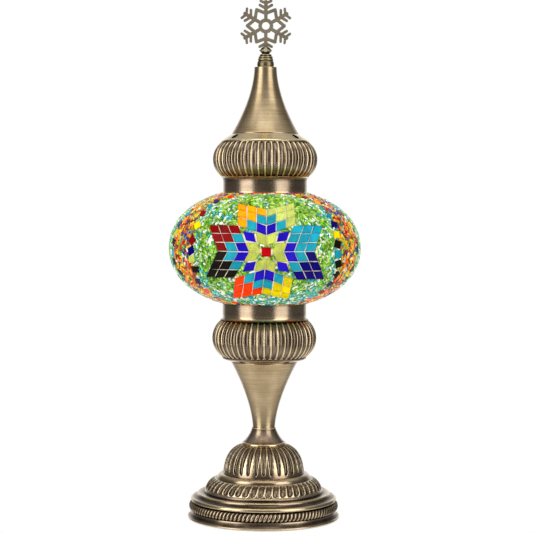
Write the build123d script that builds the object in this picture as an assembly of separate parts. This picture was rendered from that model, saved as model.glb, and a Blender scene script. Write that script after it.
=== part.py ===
from build123d import *
import os
from math import acos, asin, cos, pi, sin

# Mosaic glass table lamp: a fluted brass foot, a flared stem, a flattened glass globe covered
# with cut glass tiles, held between two fluted caps, and a spire with a snowflake finial.
# Millimetres, +Z up. The origin is the centre of the foot's underside, and the front is -Y.

# ---------------------------------------------------------------- driving dimensions
SHEET = 0.8                 # thickness of every spun brass shell
PIPE_R = 5.0                # M10 lamp pipe that draws the stack together
PIPE_HOLE_R = 5.2
STUD_R = 2.0                # M4 stud that holds the spire and the finial
STUD_HOLE_R = 2.2
THREAD_GAP = 0.05           # radial room between a plain stand-in thread and its nut

FOOT_R = 58.7               # outside of the rolled rim
FOOT_TOP = 31.3             # the foot's flat web
DOME_TOP = 57.9
NECK_TOP = 71.0

CONE_LENGTH = 51.9          # the stem cone and the spire are one pattern, one of them upside down
CONE_SMALL_R = 8.7
CONE_LARGE_R = 26.1
CONE_POWER = 1.75           # how late the cone flares

CAP_COLLAR_R = 32.7         # both caps are one pattern too: collar, fluted bowl, sloping shoulder
CAP_COLLAR = 13.5
CAP_BOWL = 28.2
CAP_BOWL_R = 40.7
CAP_LIP_R = 34.2
CAP_SHOULDER = 5.1
CAP_HEIGHT = CAP_COLLAR + CAP_BOWL + CAP_SHOULDER
VENT_R = 2.4                # round vents in the shoulders
VENT_RING_R = 29.6

LOWER_FLOOR = NECK_TOP + CONE_LENGTH
LOWER_MOUTH = LOWER_FLOOR + CAP_HEIGHT
SEAT_GAP = 41.9             # from either cap's mouth to the globe's middle
GLOBE_Z = LOWER_MOUTH + SEAT_GAP
UPPER_MOUTH = GLOBE_Z + SEAT_GAP
UPPER_FLOOR = UPPER_MOUTH + CAP_HEIGHT
SPIRE_TOP = UPPER_FLOOR + CONE_LENGTH

GLOBE_R = 75.0              # over the tiles: a six-inch globe
GLOBE_HALF_HEIGHT = 47.5    # where the tiled surface would close on the axis
GLOBE_POWER = 2.15          # 2 would be an ellipse: this one is a little fuller
TILE_LAYER = 2.2            # tiles, beads and grout
GLUE_GAP = 0.05
GLASS_WALL = 2.4
MOSAIC_EDGE_R = 33.2        # the tiles stop here, round each collar
GLASS_NECK_R = 29.5
GLASS_NECK = 48.1           # from the globe's middle to the end of either glass neck

FLAKE_Z = 384.8             # middle of the snowflake
FLAKE_THICKNESS = 2.4
FLAKE_BAR = 2.3             # width of its bars
FLAKE_TIP_R = 20.0

HOLDER_FOOT = LOWER_FLOOR + 5.8     # underside of the E14 lampholder
CONTACT_Z = HOLDER_FOOT + 22.0      # where the bulb's tip touches the centre contact


# ---------------------------------------------------------------- helpers
def edge(points):
    """A straight run for two points, an arc through three, a smooth curve through more."""
    spots = [Vector(r, 0, z) for r, z in points]
    if len(spots) == 2:
        return Line(*spots)
    if len(spots) == 3:
        return ThreePointArc(*spots)
    return Spline(*spots)


def turned(start, *runs):
    """A solid of revolution about Z. Each run is a list of (r, z) points from the last one on."""
    edges = []
    here = start
    for run in runs:
        edges.append(edge([here, *run]))
        here = run[-1]
    edges.append(edge([here, start]))
    return revolve(make_face(Curve() + edges), Axis.Z, 360)


def spun(hole_r, start, *runs):
    """A spun shell, open below, that narrows all the way up to a web with a hole."""
    def bell(inward):
        def moved(point):
            return (point[0] - inward, point[1] - inward)
        runs_in = [[moved(point) for point in run] for run in runs]
        foot = moved(start)
        corner = (hole_r - inward, foot[1])
        return turned(foot, *runs_in, [corner])
    return bell(0) - bell(SHEET)


def crown(r, z, rise):
    """The rest of a round dome, from its edge at (r, z) to the axis: rise may be negative."""
    ball_r = (r ** 2 + rise ** 2) / (2 * abs(rise))
    half = asin(r / ball_r) / 2
    drop = ball_r * (1 - cos(half))
    top = z + rise
    return [(ball_r * sin(half), top - drop if rise > 0 else top + drop), (0, top)]


def disc(r, low, high):
    return Pos(0, 0, low) * extrude(Circle(r), high - low)


def ring(outer_r, inner_r, low, high):
    return Pos(0, 0, low) * extrude(Circle(outer_r) - Circle(inner_r), high - low)


def bead(ring_r, z, r):
    return Pos(0, 0, z) * Torus(ring_r, r)


def hex_nut(flats, bore_r, low, high):
    outline = RegularPolygon(flats / 2, 6, major_radius=False) - Circle(bore_r)
    return Pos(0, 0, low) * extrude(outline, high - low)


def around(shape, azimuths):
    """Copies of a shape turned about Z, each azimuth in degrees."""
    return [Rot(0, 0, azimuth) * shape for azimuth in azimuths]


def save(name, *solids):
    shape = solids[0] if len(solids) == 1 else Compound(children=list(solids))
    export_step(shape, f"parts/{name}.step")


# ---------------------------------------------------------------- foot
RIM_BEAD_R = 1.4
GLAND_Z = 8.9
GLAND_BODY_R = 4.6
GLAND_BORE_R = 3.25
WEIGHT_LOW = 11.0
NUT_RECESS = 4.5
LEDGE_Z = 20.2


def base_foot():
    """Rolled rim, plain waist, rope band, quarter round, ledge, fluted ring and flat web."""
    shell = spun(
        PIPE_HOLE_R,
        (56.9, 1.8),
        [(56.9, 5.6)],
        [(58.1, 9.5), (56.9, 13.3)],
        [(56.4, 13.8)],
        [(56.6, 14.3)],
        [(55.0, 17.6), (51.4, LEDGE_Z)],
        [(46.2, LEDGE_Z)],
        [(45.6, 22.6)],
        [(42.7, 28.3), (36.8, FOOT_TOP)],
        [(PIPE_HOLE_R, FOOT_TOP)],
    )
    rim = bead(FOOT_R - RIM_BEAD_R, 1.8, RIM_BEAD_R)
    cord_hole = Pos(0, FOOT_R, GLAND_Z) * Rot(90, 0, 0) * Cylinder(GLAND_BODY_R + 0.05, 24)
    return shell + rim - cord_hole


def cord_gland():
    """Bush for the flex, in the back of the foot: thin flange outside, snap ring inside."""
    inner_end, outer_face, flange = 52.0, FOOT_R, 0.7
    length = outer_face - inner_end
    bush = extrude(Circle(GLAND_BODY_R), length)
    bush += Pos(0, 0, length - flange) * extrude(Circle(5.6), flange)
    bush += Pos(0, 0, 1.0) * extrude(Circle(5.2), 2.0)
    bush -= extrude(Circle(GLAND_BORE_R), length)
    return Pos(0, inner_end, GLAND_Z) * Rot(-90, 0, 0) * bush


def base_weight():
    """Cast-iron disc under the ledge, with a recess for the lower nut."""
    casting = ring(50.0, PIPE_HOLE_R, WEIGHT_LOW, LEDGE_Z - SHEET)
    return casting - disc(14.0, WEIGHT_LOW, WEIGHT_LOW + NUT_RECESS)


def base_dome():
    """Fluted dome on a quarter-round flange. The envelope of the flutes is a quarter ellipse."""
    centre_r, foot_z = 16.0, 35.4
    reach, rise = 15.7, DOME_TOP - foot_z
    steps = 8
    quarter_ellipse = [
        (centre_r + reach * cos(pi / 2 * i / steps), foot_z + rise * sin(pi / 2 * i / steps))
        for i in range(1, steps + 1)
    ]
    return spun(
        PIPE_HOLE_R,
        (36.5, FOOT_TOP),
        [(35.3, 33.9), (32.5, 35.2)],
        [(centre_r + reach, foot_z)],
        quarter_ellipse,
        [(PIPE_HOLE_R, DOME_TOP)],
    )


def base_neck():
    """Small trumpet collar between the dome and the stem, with a rolled lower edge."""
    edge_bead_r = 0.85
    low = DOME_TOP + edge_bead_r
    trumpet = spun(
        PIPE_HOLE_R,
        (16.6, low),
        [(12.1, 64.3), (9.3, 70.0)],
        [(9.6, 70.5), (9.3, NECK_TOP)],
        [(PIPE_HOLE_R, NECK_TOP)],
    )
    return trumpet + bead(16.2, low, edge_bead_r)


# ---------------------------------------------------------------- stem, caps and spire
def flared_cone(hole_r):
    """The cone with its small end and web on z = 0 and its open large end above."""
    steps = 8

    def outside(i):
        share = i / steps
        return (CONE_SMALL_R + (CONE_LARGE_R - CONE_SMALL_R) * share ** CONE_POWER,
                -CONE_LENGTH * share)

    curve = [outside(i) for i in range(steps - 1, -1, -1)]
    upright = spun(hole_r, outside(steps), curve, [(hole_r, 0)])
    return Rot(180, 0, 0) * upright


def fluted_cap(hole_r, vent_azimuths):
    """The cap with its mouth down on z = 0. Flutes and lip keep inside this envelope."""
    lip_z = CAP_COLLAR + CAP_BOWL
    bulge_z = CAP_COLLAR + CAP_BOWL / 2
    wall_r = CAP_COLLAR_R - SHEET
    web_z = CAP_HEIGHT - SHEET
    outside = turned(
        (CAP_COLLAR_R, 0),
        [(CAP_COLLAR_R, CAP_COLLAR)],
        [(CAP_BOWL_R, bulge_z), (CAP_LIP_R, lip_z)],
        [(CONE_LARGE_R, CAP_HEIGHT)],
        [(0, CAP_HEIGHT)],
        [(0, 0)],
    )
    inside = turned(
        (wall_r, -1),
        [(wall_r, CAP_COLLAR + 0.3)],
        [(CAP_BOWL_R - SHEET, bulge_z), (CAP_LIP_R - SHEET, lip_z - 0.5)],
        [(CONE_LARGE_R - 0.3, web_z)],
        [(0, web_z)],
        [(0, -1)],
    )
    cap = outside - inside - Cylinder(hole_r, 3 * CAP_HEIGHT)
    vent = Pos(0, -VENT_RING_R, lip_z) * Cylinder(VENT_R, 3 * CAP_SHOULDER)
    for hole in around(vent, vent_azimuths):
        cap -= hole
    return cap


def lower_cap():
    return Pos(0, 0, LOWER_MOUTH) * Rot(180, 0, 0) * fluted_cap(PIPE_HOLE_R, (35, -35, 145, -145))


def upper_cap():
    return Pos(0, 0, UPPER_MOUTH) * fluted_cap(STUD_HOLE_R, (52, -52, 128, -128))


def spring_clips():
    """Three strips soldered inside the upper collar that grip the glass neck from inside."""
    wall_r = CAP_COLLAR_R - SHEET
    neck_end = GLOBE_Z + GLASS_NECK
    grip_r = GLASS_NECK_R - GLASS_WALL - 0.4
    strip, width = 0.5, 6.0
    high, bridge, low = neck_end + 5.5, neck_end + 1.0, neck_end - 8.0
    outline = Polyline(
        (wall_r - strip - 0.2, 0, high),
        (wall_r - 0.2, 0, high),
        (wall_r - 0.2, 0, bridge),
        (grip_r, 0, bridge),
        (grip_r, 0, low),
        (grip_r - strip, 0, low),
        (grip_r - strip, 0, bridge + strip),
        (wall_r - strip - 0.2, 0, bridge + strip),
        close=True,
    )
    clip = extrude(make_face(outline), width / 2, dir=(0, 1, 0), both=True)
    return around(clip, (30, 150, 270))


# ---------------------------------------------------------------- globe
def bulging(half_width, half_height, stop_r):
    """Points of the globe's section, from the lower stop radius round to the upper one."""
    steps = 7
    power = 2 / GLOBE_POWER
    last = acos((stop_r / half_width) ** (1 / power))
    upper = [
        (half_width * cos(last * i / steps) ** power,
         half_height * sin(last * i / steps) ** power)
        for i in range(1, steps + 1)
    ]
    lower = [(r, -z) for r, z in reversed(upper)]
    return [(r, GLOBE_Z + z) for r, z in [*lower, (half_width, 0), *upper]]


def globe_glass():
    """Blown shell with a short straight neck at each end."""
    back = TILE_LAYER + GLUE_GAP
    outer = bulging(GLOBE_R - back, GLOBE_HALF_HEIGHT - back, GLASS_NECK_R)
    inner_r = GLASS_NECK_R - GLASS_WALL
    back += GLASS_WALL
    inner = bulging(GLOBE_R - back, GLOBE_HALF_HEIGHT - back, inner_r)
    low, high = GLOBE_Z - GLASS_NECK, GLOBE_Z + GLASS_NECK
    return turned(
        (GLASS_NECK_R, low),
        [outer[0]],
        outer[1:],
        [(GLASS_NECK_R, high)],
        [(inner_r, high)],
        [inner[-1]],
        inner[-2::-1],
        [(inner_r, low)],
    )


def mosaic_layer():
    """Skin of tiles, beads and grout over the glass, between the two collars."""
    outer = bulging(GLOBE_R, GLOBE_HALF_HEIGHT, MOSAIC_EDGE_R)
    inner = bulging(GLOBE_R - TILE_LAYER, GLOBE_HALF_HEIGHT - TILE_LAYER, MOSAIC_EDGE_R)
    return turned(outer[0], outer[1:], [inner[-1]], inner[-2::-1])


# ---------------------------------------------------------------- finial
BEAD_Z = 365.2              # middle of the bead that clamps the snowflake
TANG_LOW = 363.9
RIVET_R = 0.9


def bar(width, *points):
    """A flat bar with round ends through the given (x, z) points of the snowflake's plane."""
    shape = Sketch()
    for (x1, y1), (x2, y2) in zip(points, points[1:]):
        middle = ((x1 + x2) / 2, (y1 + y2) / 2)
        run = Vector(x2 - x1, y2 - y1)
        lean = Vector(1, 0).get_signed_angle(run)
        shape += Pos(*middle) * Rot(0, 0, lean) * SlotCenterToCenter(run.length, width)
    return shape


def snowflake():
    """Six arms, a zigzag band between them and a ring with small lobes. The lowest arm has no
    second pair of branches: it ends in the tang that the bead clamps."""
    half = FLAKE_BAR / 2
    ring_r, hole_r, lobe_r = 5.1, 3.0, 1.1
    arm = bar(FLAKE_BAR, (0, ring_r - half), (0, FLAKE_TIP_R - half))
    tip = Sketch()
    for side in (-1, 1):
        arm += bar(2.0, (0, 13.5), (side * 4.7, 16.3))
        arm += bar(2.2, (0, 10.0), (side * 7.0, 12.1))
        tip += bar(2.0, (0, 17.2), (side * 3.9, 19.0))
    flake = Circle(ring_r) + Sketch()
    for turn in range(0, 360, 60):
        flake += Rot(0, 0, turn) * arm
        flake += Rot(0, 0, turn + 30) * Pos(0, ring_r) * Circle(lobe_r)
        if turn != 180:
            flake += Rot(0, 0, turn) * tip
    flake -= Circle(hole_r)
    tang_height = FLAKE_Z - FLAKE_TIP_R + 3.0 - TANG_LOW
    flake += Pos(0, TANG_LOW - FLAKE_Z + tang_height / 2) * Rectangle(4.0, tang_height)
    flake -= Pos(0, BEAD_Z - FLAKE_Z) * Circle(RIVET_R + 0.05)
    plate = extrude(flake, FLAKE_THICKNESS / 2, both=True)
    return Pos(0, 0, FLAKE_Z) * Rot(90, 0, 0) * plate


def finial_rivet():
    """Pin through the bead and the tang, with a low domed head at each end."""
    head_r, under, edge_z, rise = 1.6, 4.0, 4.5, 0.7
    pin = disc(RIVET_R, -under, under)
    head = turned((0, under), [(head_r, under)], [(head_r, edge_z)], crown(head_r, edge_z, rise))
    pin += head
    pin += Rot(180, 0, 0) * head
    return Pos(0, 0, BEAD_Z) * Rot(90, 0, 0) * pin


def finial_stem():
    """Turned knob with stepped rings, bored for the stud, and a bead slotted for the plate."""
    bore_r = STUD_R + THREAD_GAP
    bore_top = SPIRE_TOP + 8.4
    stem = turned(
        (0, SPIRE_TOP),
        [(6.1, SPIRE_TOP)],
        [(6.5, 355.3), (5.7, 357.3)],
        [(6.1, 357.8), (5.9, 358.7)],
        [(5.2, 359.2)],
        [(5.5, 359.8), (5.2, 360.5)],
        [(4.4, 361.0)],
        [(4.6, 361.5), (4.2, 362.1)],
        [(3.0, 362.8)],
        [(4.9, BEAD_Z)],
        [(2.6, 367.7)],
        [(0, 367.7)],
    )
    stem -= disc(bore_r, SPIRE_TOP, bore_top)
    slot_height = 6.0
    slot = Box(4.0, FLAKE_THICKNESS, slot_height, align=(Align.CENTER, Align.CENTER, Align.MIN))
    return stem - Pos(0, 0, TANG_LOW) * slot - finial_rivet()


# ---------------------------------------------------------------- rod, stud and fasteners
WASHER = 1.0
LOWER_NUT = 3.0
UPPER_NUT = 4.0
TOP_NUT = 3.2
PIPE_LOW = WEIGHT_LOW - 0.5
PIPE_HIGH = HOLDER_FOOT + 7.5


def lamp_pipe():
    return ring(PIPE_R, 3.7, PIPE_LOW, PIPE_HIGH)


def pipe_fasteners():
    """The two washers and two nuts on the lamp pipe, each with its name."""
    bore_r = PIPE_R + THREAD_GAP
    seat_low = WEIGHT_LOW + NUT_RECESS
    seat_high = LOWER_FLOOR + SHEET
    return {
        "lower_washer": ring(12.0, PIPE_HOLE_R, seat_low - WASHER, seat_low),
        "lower_nut": hex_nut(14.0, bore_r, seat_low - WASHER - LOWER_NUT, seat_low - WASHER),
        "upper_washer": ring(10.0, PIPE_HOLE_R, seat_high, seat_high + WASHER),
        "upper_nut": hex_nut(14.0, bore_r, seat_high + WASHER, seat_high + WASHER + UPPER_NUT),
    }


def top_fasteners():
    """The stud through the spire, with the washer and nut under the upper cap's web."""
    seat = UPPER_FLOOR - SHEET
    nut_low = seat - WASHER - TOP_NUT
    return {
        "top_stud": disc(STUD_R, nut_low - 3.0, SPIRE_TOP + 8.0),
        "top_washer": ring(7.0, STUD_HOLE_R, seat - WASHER, seat),
        "top_nut": hex_nut(7.0, STUD_R + THREAD_GAP, nut_low, seat - WASHER),
    }


# ---------------------------------------------------------------- lampholder
HOLDER_R = 13.5
CORE_R = 11.6
CORE_LOW = HOLDER_FOOT + 8.3
CORE_HIGH = CONTACT_Z - 2.1
SLEEVE_R = 7.1              # inside of the E14 thread sleeve, at its crests
SKIRT_TOP = CONTACT_Z + 20.4
SCREW_Z = CORE_LOW + 5.0


def holder_base():
    """Moulded cup that screws onto the lamp pipe and carries the core."""
    rim = CORE_HIGH - 2.5
    return turned(
        (PIPE_R + THREAD_GAP, HOLDER_FOOT),
        [(11.0, HOLDER_FOOT)],
        [(HOLDER_R, HOLDER_FOOT + 6.0)],
        [(HOLDER_R, rim)],
        [(CORE_R + 0.2, rim)],
        [(CORE_R + 0.2, CORE_LOW)],
        [(PIPE_R + THREAD_GAP, CORE_LOW)],
    )


def holder_core():
    """Ceramic block with a wire way below and a counterbored hole for each terminal screw."""
    core = disc(CORE_R, CORE_LOW, CORE_HIGH)
    core -= disc(4.5, CORE_LOW, CORE_LOW + 7.0)
    for side in (0, 180):
        hole = Pos(7.5, 0, SCREW_Z) * Rot(0, 90, 0) * Cylinder(1.5, 9.0)
        seat = Pos(12.6, 0, SCREW_Z) * Rot(0, 90, 0) * Cylinder(2.8, 6.0)
        core -= Rot(0, 0, side) * hole
        core -= Rot(0, 0, side) * seat
    return core


def terminal_screws():
    shank = Pos(7.3, 0, SCREW_Z) * Rot(0, 90, 0) * Cylinder(1.45, 4.6)
    head = Pos(10.5, 0, SCREW_Z) * Rot(0, 90, 0) * Cylinder(2.5, 1.8)
    slot = Pos(11.4, 0, SCREW_Z) * Box(1.2, 0.7, 6.0)
    return around(shank + head - slot, (0, 180))


def holder_skirt():
    """Moulded sleeve round the thread, with an inward lip at its mouth."""
    low = CORE_HIGH - 2.5
    shoulder = CORE_HIGH + 3.5
    return turned(
        (CORE_R + 0.2, low),
        [(HOLDER_R, low)],
        [(HOLDER_R, shoulder)],
        [(12.5, shoulder + 1.2)],
        [(12.5, SKIRT_TOP)],
        [(8.0, SKIRT_TOP)],
        [(8.0, SKIRT_TOP - 1.6)],
        [(10.9, SKIRT_TOP - 1.6)],
        [(10.9, shoulder)],
        [(CORE_R + 0.2, shoulder)],
    )


def thread_sleeve():
    """Pressed sleeve. Rings stand for its helical thread."""
    sleeve_top = SKIRT_TOP - 2.0
    sleeve = ring(SLEEVE_R + 0.7, SLEEVE_R, CORE_HIGH, sleeve_top)
    sleeve += ring(9.5, SLEEVE_R, CORE_HIGH, CORE_HIGH + 0.5)
    pitch = 2.82
    turns = int((sleeve_top - CORE_HIGH - 3.0) / pitch)
    for i in range(turns):
        sleeve -= bead(SLEEVE_R + 1.0, CORE_HIGH + 3.0 + i * pitch, 0.55)
    return sleeve


def centre_contact():
    """Bent strip that rises from the core to meet the bulb's tip."""
    strip, width = 0.4, 3.2
    outline = Polyline(
        (-5.0, 0, CORE_HIGH),
        (-2.6, 0, CORE_HIGH),
        (1.6, 0, CONTACT_Z - strip),
        (3.4, 0, CONTACT_Z - strip),
        (3.4, 0, CONTACT_Z),
        (1.4, 0, CONTACT_Z),
        (-2.8, 0, CORE_HIGH + strip),
        (-5.0, 0, CORE_HIGH + strip),
        close=True,
    )
    return extrude(make_face(outline), width / 2, dir=(0, 1, 0), both=True)


# ---------------------------------------------------------------- bulb
BULB_R = 22.4
DOME_CENTRE = CONTACT_Z + 55.6
CAP_LOW = CONTACT_Z + 3.4
CAP_HIGH = CONTACT_Z + 19.4
CAP_CREST_R = 6.95
SPLIT_Z = DOME_CENTRE - 9.0         # where the opal dome meets the housing
BOARD_Z = SPLIT_Z - 3.0


def bulb_contact():
    seat = CONTACT_Z + 1.0
    return turned((0, seat), [(2.4, seat)], crown(2.4, seat, -1.0))


def cap_insulator():
    low = CONTACT_Z + 1.0
    return turned((0, low), [(2.6, low)], [(4.6, low + 0.8), (5.9, CAP_LOW)], [(0, CAP_LOW)])


def bulb_cap():
    """Nickel-plated E14 cap. Rounded rings stand for its helical thread."""
    pitch = 2.82
    root_r = CAP_CREST_R - 0.5
    shell = turned(
        (5.5, CAP_LOW),
        [(5.9, CAP_LOW)],
        [(root_r, CAP_LOW + 1.2)],
        [(root_r, CAP_HIGH)],
        [(5.5, CAP_HIGH)],
    )
    for i in range(5):
        shell += bead(root_r - 0.2, CAP_LOW + 2.2 + i * pitch, 0.7)
    return shell


def bulb_housing():
    """White moulded neck that widens from the cap to the dome."""
    wall = 1.4
    outer = [(7.4, CAP_HIGH + 2.0), (13.5, CAP_HIGH + 8.5), (20.4, SPLIT_Z)]
    return turned(
        (4.0, CAP_HIGH),
        [(7.2, CAP_HIGH)],
        [outer[0]],
        outer[1:],
        [(20.4 - wall, SPLIT_Z)],
        [(20.4 - wall, SPLIT_Z - 3.0)],
        [(13.5 - wall, CAP_HIGH + 8.0), (4.0, CAP_HIGH + 2.0)],
    )


def led_board():
    return disc(17.8, BOARD_Z, BOARD_Z + 1.6)


def led_chips():
    """Eight square emitters in a ring on the board."""
    chip = Pos(11.0, 0, BOARD_Z + 1.6 + 0.35) * Box(2.8, 3.5, 0.7)
    return around(chip, range(0, 360, 45))


def bulb_dome():
    """Opal cover: a ball cut off where it meets the housing."""
    wall = 1.2
    ball = Sphere(BULB_R) - Sphere(BULB_R - wall)
    keep = Pos(0, 0, SPLIT_Z - DOME_CENTRE) * Cylinder(
        40, 60, align=(Align.CENTER, Align.CENTER, Align.MIN))
    return Pos(0, 0, DOME_CENTRE) * (ball & keep)


# ---------------------------------------------------------------- write every node
os.makedirs("parts", exist_ok=True)

save("felt_pad", disc(54.0, 0, 1.6))
save("bottom_plate", disc(FOOT_R - 2 * RIM_BEAD_R - 0.05, 1.6, 2.8))
save("base_weight", base_weight())
save("base_foot", base_foot())
save("cord_gland", cord_gland())
save("base_dome", base_dome())
save("base_neck", base_neck())
save("stem_cone", Pos(0, 0, NECK_TOP) * flared_cone(PIPE_HOLE_R))
save("lower_cap", lower_cap())
save("lamp_pipe", lamp_pipe())
for name, fastener in pipe_fasteners().items():
    save(name, fastener)

save("holder_base", holder_base())
save("holder_core", holder_core())
save("terminal_screws", *terminal_screws())
save("holder_skirt", holder_skirt())
save("thread_sleeve", thread_sleeve())
save("centre_contact", centre_contact())

save("bulb_contact", bulb_contact())
save("cap_insulator", cap_insulator())
save("bulb_cap", bulb_cap())
save("bulb_housing", bulb_housing())
save("led_board", led_board())
save("led_chips", *led_chips())
save("bulb_dome", bulb_dome())

save("globe_glass", globe_glass())
save("mosaic_layer", mosaic_layer())

save("upper_cap", upper_cap())
save("spring_clips", *spring_clips())
save("spire_cone", Pos(0, 0, SPIRE_TOP) * Rot(180, 0, 0) * flared_cone(STUD_HOLE_R))
for name, fastener in top_fasteners().items():
    save(name, fastener)

save("finial_stem", finial_stem())
save("finial_rivet", finial_rivet())
save("snowflake", snowflake())
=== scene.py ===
"""Looks of the mosaic glass table lamp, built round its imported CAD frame.

Lengths are millimetres, as in the part's own drawing, and MM turns them into metres when a mesh is
made. Only the camera, the lights and the floor's fade are set in metres. Azimuth 0 is the front of
the lamp (-Y), and it grows towards the lamp's side at +X.
"""

import cmath
import itertools
import math
import random
from collections import namedtuple

import bpy
import numpy as np
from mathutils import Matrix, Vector, noise

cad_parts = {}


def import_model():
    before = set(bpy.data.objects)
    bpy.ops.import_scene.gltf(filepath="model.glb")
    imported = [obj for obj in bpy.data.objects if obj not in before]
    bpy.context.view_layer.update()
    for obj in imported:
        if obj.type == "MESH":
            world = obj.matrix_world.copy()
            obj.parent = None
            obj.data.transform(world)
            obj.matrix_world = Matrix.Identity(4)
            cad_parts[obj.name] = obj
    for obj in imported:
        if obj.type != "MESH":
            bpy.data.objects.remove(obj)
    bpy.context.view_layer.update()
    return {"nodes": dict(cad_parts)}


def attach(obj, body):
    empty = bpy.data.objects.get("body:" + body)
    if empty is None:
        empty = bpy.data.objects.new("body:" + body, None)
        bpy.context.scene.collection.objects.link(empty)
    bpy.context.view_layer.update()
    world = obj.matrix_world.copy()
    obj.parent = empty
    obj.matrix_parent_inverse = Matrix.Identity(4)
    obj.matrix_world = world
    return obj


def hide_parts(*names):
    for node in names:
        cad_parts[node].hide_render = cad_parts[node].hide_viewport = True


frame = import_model()

MM = 0.001
TAU = 2 * math.pi
UNSEEN_WEAR = 0.3               # wear on the inside of a shell


# ---------------- meshes
def new_mesh(name, points, faces, smooth=True, **values):
    """A mesh object from millimetre points, arrays of faces and named values on its points."""
    mesh = bpy.data.meshes.new(name)
    mesh.from_pydata(np.reshape(points, (-1, 3)) * MM, [], [f for group in faces for f in group.tolist()])
    mesh.polygons.foreach_set("use_smooth", np.full(len(mesh.polygons), smooth))
    for value_name, value in values.items():
        attribute = mesh.attributes.new(value_name, "FLOAT", "POINT")
        attribute.data.foreach_set("value", np.ravel(value))
    mesh.validate()
    return linked(name, mesh)


def linked(name, data):
    """A new object in the scene."""
    made = bpy.data.objects.new(name, data)
    bpy.context.scene.collection.objects.link(made)
    return made


def grid_faces(rows, columns, close_rows):
    """Quads of a grid that always closes round its columns."""
    count = rows if close_rows else rows - 1
    row = np.arange(count)[:, None]
    column = np.arange(columns)[None, :]
    above = (row + 1) % rows
    right = (column + 1) % columns
    return np.stack(
        [row * columns + column, row * columns + right,
         above * columns + right, above * columns + column], axis=-1).reshape(-1, 4)


def stacked(rings, start=0):
    """Faces of a closed solid through rings of equal count, lowest first, numbered from start."""
    count = len(rings[0])
    around = np.arange(count)[None, :] + start
    sides = grid_faces(len(rings), count, False) + start
    return [sides, around[:, ::-1], around + (len(rings) - 1) * count]


def turn(count):
    """Angles that divide a full turn into equal steps."""
    return np.arange(count) / count * TAU


def ring(count, r, z, x=0.0, y=0.0):
    """A level ring of points."""
    angle = turn(count)
    return np.column_stack([x + r * np.cos(angle), y + r * np.sin(angle), np.full(count, z)])


def arc(a, b, c, step):
    """Points of the arc from a through b to c, without a."""
    a, b, c = complex(*a), complex(*b), complex(*c)
    ratio = (c - a) / (b - a)
    centre = a + (b - a) * (ratio - abs(ratio) ** 2) / (2j * ratio.imag)
    start = a - centre
    to_middle = cmath.phase((b - centre) / start) % TAU
    sweep = cmath.phase((c - centre) / start) % TAU
    if to_middle > sweep:
        sweep -= TAU
    count = max(4, math.ceil(abs(sweep) * abs(start) / step))
    points = [centre + start * cmath.exp(1j * sweep * i / count) for i in range(1, count + 1)]
    return [(point.real, point.imag) for point in points]


SMOOTH_BEND = 0.3               # radians: a sharper bend is a real corner


def outline(start, *runs, step=0.8, corner=0.14):
    """(r, z) points along runs: one point is a straight run, two are an arc, more are followed.
    Real corners get a small round, with a close point on each side to keep the faces flat."""
    points = [start]
    for run in runs:
        here = points[-1]
        if len(run) == 1:
            count = max(1, math.ceil(math.dist(here, run[0]) / (3 * step)))
            points += np.linspace(here, run[0], count + 1)[1:].tolist()
        elif len(run) == 2:
            points += arc(here, *run, step)
        else:
            points += run
    points = [np.array(p, float) for p in points]
    made = [points[0]]
    for before, here, after in zip(points, points[1:], points[2:]):
        back, ahead = before - here, after - here
        back_length, ahead_length = np.linalg.norm(back), np.linalg.norm(ahead)
        back, ahead = back / back_length, ahead / ahead_length
        bend = math.acos(max(-1.0, min(1.0, float(-back @ ahead))))
        if bend < SMOOTH_BEND:
            made.append(here)
            continue
        reach = min(corner, 0.2 * back_length, 0.2 * ahead_length)
        edge_back, edge_ahead = here + back * reach, here + ahead * reach
        made += [here + back * 2 * reach, edge_back, 0.35 * here + 0.325 * (edge_back + edge_ahead),
                 edge_ahead, here + ahead * 2 * reach]
    made.append(points[-1])
    return np.array(made)


def along(profile):
    """Distance along a profile at each of its points."""
    steps = np.linalg.norm(np.diff(profile, axis=0), axis=1)
    return np.concatenate([[0], np.cumsum(steps)])


def lathe(name, outside, inside, count, relief, *settings):
    """Turns a profile about Z. With an inside profile, on the way back down, the piece is a shell.
    Without one its ends close on the axis. The relief is pressed into the outside."""
    loop = np.concatenate([outside, inside]) if len(inside) else outside
    azimuth = turn(count)
    r = np.repeat(loop[:, :1], count, axis=1)
    z = np.repeat(loop[:, 1:], count, axis=1)
    worn = np.full(r.shape, UNSEEN_WEAR)
    rows = len(outside)
    slope = np.gradient(outside, axis=0)
    slope /= np.linalg.norm(slope, axis=1)[:, None]
    distance = along(outside)[:, None]
    depth, worn[:rows] = relief(distance, outside, azimuth[None, :], *settings)
    r[:rows] -= depth * slope[:, 1:]
    z[:rows] += depth * slope[:, :1]
    points = np.stack([r * np.sin(azimuth), -r * np.cos(azimuth), z], axis=-1).reshape(-1, 3)
    if len(inside):
        return new_mesh(name, points, [grid_faces(len(loop), count, True)], wear=worn)
    return closed_on_axis(name, points, worn.ravel(), rows, count)


def closed_on_axis(name, points, worn, rows, count):
    """A turned solid whose first and last rings are single points on the axis."""
    column = np.arange(count)
    right = np.roll(column, -1)
    tip = len(points) - 2 * count + 1
    bottom = np.stack([0 * column, 1 + right, 1 + column], axis=-1)
    top = np.stack([0 * column + tip, tip - count + column, tip - count + right], axis=-1)
    kept = slice(count - 1, 1 - count)
    faces = [grid_faces(rows - 2, count, False) + 1, bottom, top]
    return new_mesh(name, points[kept], faces, wear=worn[kept])


def smoothstep(x, low, high):
    """0 below low, 1 above high and a soft step between."""
    share = np.clip((x - low) / (high - low), 0, 1)
    return share * share * (3 - 2 * share)


def place(piece, material, body, slot, *stands_for):
    """Gives a piece its material and its place in the frame."""
    piece.data.materials.append(material)
    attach(piece, body)
    if stands_for:
        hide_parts(*stands_for)


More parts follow.
